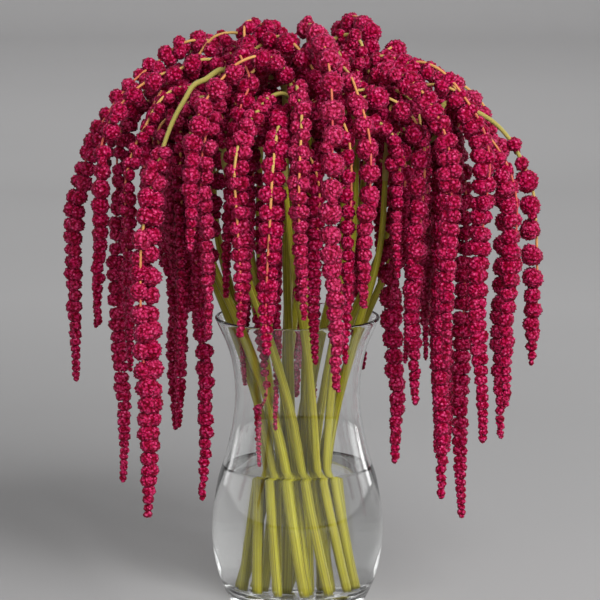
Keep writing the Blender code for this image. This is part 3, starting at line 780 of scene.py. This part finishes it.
def make_vase(material):
    """Blown glass: a smooth wall, a fire-polished lip and a thick clear foot."""
    corner = [(FOOT_RADIUS - 0.002, 0.0), (FOOT_RADIUS + 0.003, 0.0009)]
    outer = spline([*corner, *VASE_OUTLINE], 0.0030)
    inner_points = [(0.030, FLOOR_HEIGHT - 0.0005), (FLOOR_RADIUS - 0.004, FLOOR_HEIGHT + 0.0006)]
    inner_points += [(radius - WALL, height) for radius, height in VASE_OUTLINE[1:]]
    inner = spline(inner_points, 0.0030)
    rim_middle = VASE_OUTLINE[-1][0] - WALL / 2
    lip = []
    for k in range(1, 8):
        angle = math.pi * (1 - k / 8)
        lip.append(
            (
                rim_middle + WALL / 2 * math.cos(angle),
                VASE_OUTLINE[-1][1] + (RIM_TOP - VASE_OUTLINE[-1][1]) * math.sin(angle),
            )
        )
    profile = [(0, FLOOR_HEIGHT - 0.0008), *inner, *lip, *reversed(outer), (0.030, 0.0), (0, 0.0)]
    return turned_piece("blown_glass", profile, material), inner


def make_water(inner, material):
    """Water up to its level, with the surface drawn up a little where it meets the glass."""
    reach = np.array([radius for radius, _ in inner]) + WATER_OVERLAP
    heights = np.array([height for _, height in inner])
    edge_height = WATER_LEVEL + MENISCUS_HEIGHT
    edge = float(np.interp(edge_height, heights, reach))
    surface = []
    for k in range(9):
        share = k / 8
        height = WATER_LEVEL + MENISCUS_HEIGHT * share**2.5
        surface.append((edge - MENISCUS_REACH * (1 - share), height))
    side = [(r, z) for r, z in zip(reach, heights) if z < edge_height - 0.0005]
    side = [(float(r), float(z) - WATER_OVERLAP * (z < FLOOR_HEIGHT + 0.002)) for r, z in side]
    profile = [(0, WATER_LEVEL), *surface, *reversed(side), (0, side[0][1])]
    return turned_piece("clear_water", profile, material)


def new_material(name, roughness):
    """A node material, with its tree, its Principled shader and a helper that adds nodes."""
    material = bpy.data.materials.new(name)
    material.use_nodes = True
    tree = material.node_tree
    shader = tree.nodes["Principled BSDF"]
    shader.inputs["Roughness"].default_value = roughness

    def add(kind, **settings):
        node = tree.nodes.new(kind)
        for key, value in settings.items():
            setattr(node, key, value)
        return node

    return material, tree, shader, add


def ramp(add, stops):
    """A colour ramp node with the given (position, colour) stops."""
    node = add("ShaderNodeValToRGB")
    elements = node.color_ramp.elements
    while len(elements) < len(stops):
        elements.new(0.5)
    for element, (position, colour) in zip(elements, stops):
        element.position = position
        element.color = (*colour, 1.0)
    return node


def seed_material():
    """Crinkled matte crimson florets: painted pale pink highlights on tips, painted deep red shade in
    creases.
    """
    material, tree, shader, add = new_material("seed_cluster_fine", 0.60)
    link = tree.links.new
    relief = add("ShaderNodeAttribute", attribute_name="relief")
    tint = add("ShaderNodeAttribute", attribute_name="tint")
    place = add("ShaderNodeTexCoord")
    wobble = add("ShaderNodeTexNoise")
    wobble.inputs["Scale"].default_value = 260
    wobble.inputs["Detail"].default_value = 2
    bent = add("ShaderNodeVectorMath", operation="MULTIPLY_ADD")
    bent.inputs[1].default_value = (0.0030, 0.0030, 0.0030)
    link(place.outputs["Object"], wobble.inputs["Vector"])
    link(wobble.outputs["Color"], bent.inputs[0])
    link(place.outputs["Object"], bent.inputs[2])
    cells = add("ShaderNodeTexVoronoi")
    cells.inputs["Scale"].default_value = 330
    link(bent.outputs["Vector"], cells.inputs["Vector"])
    squared = add("ShaderNodeMath", operation="POWER")
    squared.inputs[1].default_value = 2.0
    link(cells.outputs["Distance"], squared.inputs[0])
    peaks = add("ShaderNodeMapRange")
    peaks.inputs["From Min"].default_value = 0.46
    peaks.inputs["From Max"].default_value = 0.0
    link(squared.outputs[0], peaks.inputs["Value"])
    height = add("ShaderNodeMath", operation="MULTIPLY_ADD")
    link(peaks.outputs["Result"], height.inputs[0])
    height.inputs[1].default_value = 0.50
    lowered = add("ShaderNodeMath", operation="MULTIPLY_ADD")
    link(relief.outputs["Fac"], lowered.inputs[0])
    lowered.inputs[1].default_value = 0.50
    lowered.inputs[2].default_value = -0.05
    link(lowered.outputs[0], height.inputs[2])
    # Colour by height: the near-black red low down is painted shade in the creases, the pale pink high
    # up is painted highlight on the floret tips, and the crimson between is the florets' own colour
    colours = ramp(
        add,
        (
            (0.0, (0.090, 0.0002, 0.005)),
            (0.25, (0.300, 0.0008, 0.028)),
            (0.52, (0.530, 0.014, 0.105)),
            (0.76, (0.700, 0.120, 0.265)),
            (1.0, (0.860, 0.380, 0.520)),
        ),
    )
    link(height.outputs[0], colours.inputs["Fac"])
    paler = add("ShaderNodeMix", data_type="RGBA", blend_type="MIX")
    link(colours.outputs["Color"], paler.inputs["A"])
    paler.inputs["B"].default_value = (0.900, 0.130, 0.290, 1.0)
    amount = add("ShaderNodeMath", operation="MULTIPLY", use_clamp=True)
    link(tint.outputs["Fac"], amount.inputs[0])
    link(height.outputs[0], amount.inputs[1])
    link(amount.outputs[0], paler.inputs["Factor"])
    patches = add("ShaderNodeTexNoise")
    patches.inputs["Scale"].default_value = 60
    link(place.outputs["Object"], patches.inputs["Vector"])
    shade = ramp(add, ((0.3, (0.78, 0.60, 0.70)), (0.7, (1.0, 1.0, 1.0))))
    link(patches.outputs["Fac"], shade.inputs["Fac"])
    mottled = add("ShaderNodeMix", data_type="RGBA", blend_type="MULTIPLY")
    mottled.inputs["Factor"].default_value = 0.8
    link(paler.outputs["Result"], mottled.inputs["A"])
    link(shade.outputs["Color"], mottled.inputs["B"])
    link(mottled.outputs["Result"], shader.inputs["Base Color"])
    bump = add("ShaderNodeBump")
    bump.inputs["Strength"].default_value = 0.9
    bump.inputs["Distance"].default_value = 0.0014
    link(peaks.outputs["Result"], bump.inputs["Height"])
    link(bump.outputs["Normal"], shader.inputs["Normal"])
    shader.inputs["Sheen Weight"].default_value = 0.10
    shader.inputs["Sheen Roughness"].default_value = 0.4
    shader.inputs["Sheen Tint"].default_value = (1.0, 0.25, 0.45, 1.0)
    shader.inputs["Specular IOR Level"].default_value = 0.12
    return material


def stalk_material():
    """Stalks that turn from yellow green to orange pink along their length."""
    material, tree, shader, add = new_material("stalk_fine", 0.5)
    link = tree.links.new
    rosy = add("ShaderNodeAttribute", attribute_name="rosy")
    place = add("ShaderNodeTexCoord")
    noise = add("ShaderNodeTexNoise")
    noise.inputs["Scale"].default_value = 120
    link(place.outputs["Object"], noise.inputs["Vector"])
    shift = add("ShaderNodeMath", operation="MULTIPLY_ADD")
    link(noise.outputs["Fac"], shift.inputs[0])
    shift.inputs[1].default_value = 0.4
    link(rosy.outputs["Fac"], shift.inputs[2])
    lowered = add("ShaderNodeMath", operation="SUBTRACT")
    link(shift.outputs[0], lowered.inputs[0])
    lowered.inputs[1].default_value = 0.2
    colours = ramp(
        add,
        (
            (0.0, (0.360, 0.310, 0.075)),
            (0.25, (0.520, 0.370, 0.110)),
            (0.55, (0.620, 0.270, 0.090)),
            (1.0, (0.560, 0.080, 0.080)),
        ),
    )
    link(lowered.outputs[0], colours.inputs["Fac"])
    link(colours.outputs["Color"], shader.inputs["Base Color"])
    bump = add("ShaderNodeBump")
    bump.inputs["Strength"].default_value = 0.3
    bump.inputs["Distance"].default_value = 0.0003
    link(noise.outputs["Fac"], bump.inputs["Height"])
    link(bump.outputs["Normal"], shader.inputs["Normal"])
    return material


def stem_material():
    """Yellow-green stems with fine lengthwise streaks and soft blotches."""
    material, tree, shader, add = new_material("stem_fine", 0.42)
    link = tree.links.new
    across = add("ShaderNodeAttribute", attribute_name="round_x")
    around = add("ShaderNodeAttribute", attribute_name="round_y")
    lengthwise = add("ShaderNodeAttribute", attribute_name="lengthwise")
    place = add("ShaderNodeCombineXYZ")
    link(across.outputs["Fac"], place.inputs["X"])
    link(around.outputs["Fac"], place.inputs["Y"])
    link(lengthwise.outputs["Fac"], place.inputs["Z"])
    streaks = add("ShaderNodeTexNoise")
    streaks.inputs["Scale"].default_value = 5
    streaks.inputs["Detail"].default_value = 5
    streaks.inputs["Roughness"].default_value = 0.65
    blotches = add("ShaderNodeTexNoise")
    blotches.inputs["Scale"].default_value = 1.0
    blotches.inputs["Detail"].default_value = 3
    stretched = add("ShaderNodeVectorMath", operation="MULTIPLY")
    stretched.inputs[1].default_value = (1.0, 1.0, 22.0)
    link(place.outputs["Vector"], streaks.inputs["Vector"])
    link(place.outputs["Vector"], stretched.inputs[0])
    link(stretched.outputs["Vector"], blotches.inputs["Vector"])
    colours = ramp(
        add,
        (
            (0.32, (0.170, 0.160, 0.006)),
            (0.50, (0.360, 0.335, 0.018)),
            (0.68, (0.620, 0.580, 0.080)),
        ),
    )
    link(streaks.outputs["Fac"], colours.inputs["Fac"])
    mottled = add("ShaderNodeMix", data_type="RGBA", blend_type="MULTIPLY")
    shade = ramp(add, ((0.35, (0.86, 0.80, 0.62)), (0.65, (1.0, 1.0, 1.0))))
    link(blotches.outputs["Fac"], shade.inputs["Fac"])
    mottled.inputs["Factor"].default_value = 1.0
    link(colours.outputs["Color"], mottled.inputs["A"])
    link(shade.outputs["Color"], mottled.inputs["B"])
    link(mottled.outputs["Result"], shader.inputs["Base Color"])
    bump = add("ShaderNodeBump")
    bump.inputs["Strength"].default_value = 0.45
    bump.inputs["Distance"].default_value = 0.0004
    link(streaks.outputs["Fac"], bump.inputs["Height"])
    link(bump.outputs["Normal"], shader.inputs["Normal"])
    return material


def clear_material(name, colour, ior, roughness):
    """A clear refracting material that lets lamps light what stands behind it."""
    material, tree, shader, add = new_material(name, roughness)
    link = tree.links.new
    shader.inputs["Base Color"].default_value = (*colour, 1.0)
    shader.inputs["Transmission Weight"].default_value = 1.0
    shader.inputs["IOR"].default_value = ior
    place = add("ShaderNodeTexCoord")
    ripple = add("ShaderNodeTexNoise")
    ripple.inputs["Scale"].default_value = 16
    link(place.outputs["Object"], ripple.inputs["Vector"])
    bump = add("ShaderNodeBump")
    bump.inputs["Strength"].default_value = 0.10
    bump.inputs["Distance"].default_value = 0.0010
    link(ripple.outputs["Fac"], bump.inputs["Height"])
    link(bump.outputs["Normal"], shader.inputs["Normal"])
    clear = add("ShaderNodeBsdfTransparent")
    clear.inputs["Color"].default_value = (*(0.6 + 0.4 * np.array(colour)), 1.0)
    ray = add("ShaderNodeLightPath")
    mix = add("ShaderNodeMixShader")
    link(ray.outputs["Is Shadow Ray"], mix.inputs["Fac"])
    link(shader.outputs["BSDF"], mix.inputs[1])
    link(clear.outputs["BSDF"], mix.inputs[2])
    link(mix.outputs["Shader"], tree.nodes["Material Output"].inputs["Surface"])
    return material


def make_stage():
    """A seamless floor that curves up into a wall far behind the vase, with painted light and shade.
    """
    profile = [(STAGE_FRONT, 0.0)]
    for k in range(BEND_STEPS + 1):
        angle = math.pi / 2 * k / BEND_STEPS
        depth = STAGE_BACK - STAGE_BEND + STAGE_BEND * math.sin(angle)
        profile.append((depth, STAGE_BEND - STAGE_BEND * math.cos(angle)))
    profile.append((STAGE_BACK, STAGE_HEIGHT))
    points = [(x, y, z - STAGE_DROP) for x in (-STAGE_HALF, STAGE_HALF) for y, z in profile]
    count = len(profile)
    faces = [(k, k + count, k + count + 1, k + 1) for k in range(count - 1)]
    mesh = bpy.data.meshes.new("backdrop")
    mesh.from_pydata(points, [], faces)
    mesh.shade_smooth()
    material, tree, shader, add = new_material("backdrop", 0.9)
    place = add("ShaderNodeTexCoord")
    depth = add("ShaderNodeSeparateXYZ")
    tree.links.new(place.outputs["Object"], depth.inputs["Vector"])
    # Noise that moves the bands of painted light and shade a little
    light_wobble = add("ShaderNodeTexNoise")
    light_wobble.inputs["Scale"].default_value = PAINTED_LIGHT_WOBBLE_SCALE
    tree.links.new(place.outputs["Object"], light_wobble.inputs["Vector"])
    shift = add("ShaderNodeMath", operation="MULTIPLY_ADD")
    shift.inputs[1].default_value = PAINTED_LIGHT_WOBBLE
    tree.links.new(light_wobble.outputs["Fac"], shift.inputs[0])
    tree.links.new(depth.outputs["Y"], shift.inputs[2])
    # Painted light and shade: the grey is made brighter and darker by depth, in bands that stand in
    # for how the lamps fall on the floor and wall
    painted_light = ramp(add, PAINTED_LIGHT_BY_DEPTH)
    distant = add("ShaderNodeMath", operation="MULTIPLY")
    distant.inputs[1].default_value = PAINTED_LIGHT_PER_METRE
    tree.links.new(shift.outputs[0], distant.inputs[0])
    tree.links.new(distant.outputs[0], painted_light.inputs["Fac"])
    tree.links.new(painted_light.outputs["Color"], shader.inputs["Base Color"])
    shader.inputs["Specular IOR Level"].default_value = 0.1
    mesh.materials.append(material)
    stage = bpy.data.objects.new("backdrop", mesh)
    bpy.context.collection.objects.link(stage)


def make_lamps():
    """Soft rectangular lamps: key, fill and wash, and a window and two strips that glass shows."""
    for lamp in LAMPS:
        light = bpy.data.lights.new(lamp.name, "AREA")
        light.shape = "RECTANGLE"
        light.size, light.size_y = lamp.width, lamp.height
        light.energy = lamp.watts
        thing = bpy.data.objects.new(lamp.name, light)
        thing.location = lamp.place
        aim = Vector(lamp.target) - Vector(lamp.place)
        thing.rotation_euler = aim.to_track_quat("-Z", "Y").to_euler()
        thing.visible_glossy = lamp.seen
        thing.visible_transmission = lamp.seen
        bpy.context.collection.objects.link(thing)


def make_world():
    """An even dim room, brighter where glass lets rays through and in the back where it mirrors."""
    world = bpy.data.worlds.new("studio")
    world.use_nodes = True
    tree = world.node_tree
    tree.nodes["Background"].inputs["Color"].default_value = (1.0, 1.0, 1.0, 1.0)
    ray = tree.nodes.new("ShaderNodeLightPath")
    place = tree.nodes.new("ShaderNodeTexCoord")
    direction = tree.nodes.new("ShaderNodeSeparateXYZ")
    tree.links.new(place.outputs["Generated"], direction.inputs["Vector"])
    walls = tree.nodes.new("ShaderNodeMapRange")
    walls.inputs["From Min"].default_value = MIRRORED_BETWEEN[0]
    walls.inputs["From Max"].default_value = MIRRORED_BETWEEN[1]
    walls.inputs["To Min"].default_value = MIRRORED[0]
    walls.inputs["To Max"].default_value = MIRRORED[1]
    tree.links.new(direction.outputs["Y"], walls.inputs["Value"])
    mirrored = tree.nodes.new("ShaderNodeMath")
    mirrored.operation = "MULTIPLY_ADD"
    tree.links.new(ray.outputs["Is Glossy Ray"], mirrored.inputs[0])
    tree.links.new(walls.outputs["Result"], mirrored.inputs[1])
    mirrored.inputs[2].default_value = ROOM_LIGHT
    bent = tree.nodes.new("ShaderNodeMath")
    bent.operation = "MULTIPLY_ADD"
    tree.links.new(ray.outputs["Is Transmission Ray"], bent.inputs[0])
    bent.inputs[1].default_value = LET_THROUGH
    tree.links.new(mirrored.outputs[0], bent.inputs[2])
    tree.links.new(bent.outputs[0], tree.nodes["Background"].inputs["Strength"])
    bpy.context.scene.world = world


def make_camera():
    """A long lens that looks down on the bunch as the photograph does."""
    rim = Vector((0, 0, RIM_TOP))
    place = Vector((0, -CAMERA_DISTANCE, CAMERA_HEIGHT))
    distance = (rim - place).length
    width = PHOTO_SIZE * METRES_PER_PIXEL
    camera = bpy.data.cameras.new("camera")
    camera.sensor_width = SENSOR_WIDTH * 1000
    camera.lens = camera.sensor_width * distance / width
    across = (PHOTO_SIZE / 2 - RIM_PIXEL[0]) * METRES_PER_PIXEL / distance
    down = (PHOTO_SIZE / 2 - RIM_PIXEL[1]) * METRES_PER_PIXEL / distance
    fall = math.atan2(place.z - rim.z, CAMERA_DISTANCE) + down
    thing = bpy.data.objects.new("camera", camera)
    thing.location = place
    thing.rotation_euler = (math.pi / 2 - fall, 0, -across)
    bpy.context.collection.objects.link(thing)
    bpy.context.scene.camera = thing


def main():
    """Dresses every part of the bunch and sets the stage."""
    draw = np.random.default_rng(SEED)
    balls = {
        count: [floret_ball(count, draw) for _ in range(SHAPES_PER_COUNT)]
        for count in FLORET_COUNTS
    }
    seeds, stalks, green = seed_material(), stalk_material(), stem_material()
    glass = clear_material("glass_fine", (0.992, 0.997, 0.994), 1.48, 0.0)
    liquid = clear_material("water_fine", (0.995, 0.998, 0.994), 1.33, 0.0)
    stems, sprays = plan_bunch()
    for k, ((line, radii), tassels) in enumerate(zip(stems, sprays)):
        number = f"{k + 1:02}"
        tassels = [
            (points, sizes, bare, max(0, draw.normal(0.05, 0.18))) for points, sizes, bare in tassels
        ]
        clusters = make_clusters(f"clusters_{number}", tassels, balls, seeds, draw)
        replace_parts(clusters, f"spray_{number}")
        make_stalks(f"stalks_{number}", line, tassels, stalks, draw)
        stem = make_stem(f"ribbed_{number}", line, radii, green, draw)
        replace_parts(stem, f"stem_{number}")
    vase, inner = make_vase(glass)
    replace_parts(vase, "vase")
    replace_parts(make_water(inner, liquid), "water")
    make_stage()
    make_lamps()
    make_world()
    make_camera()
    bpy.context.scene.view_settings.view_transform = "Standard"


main()
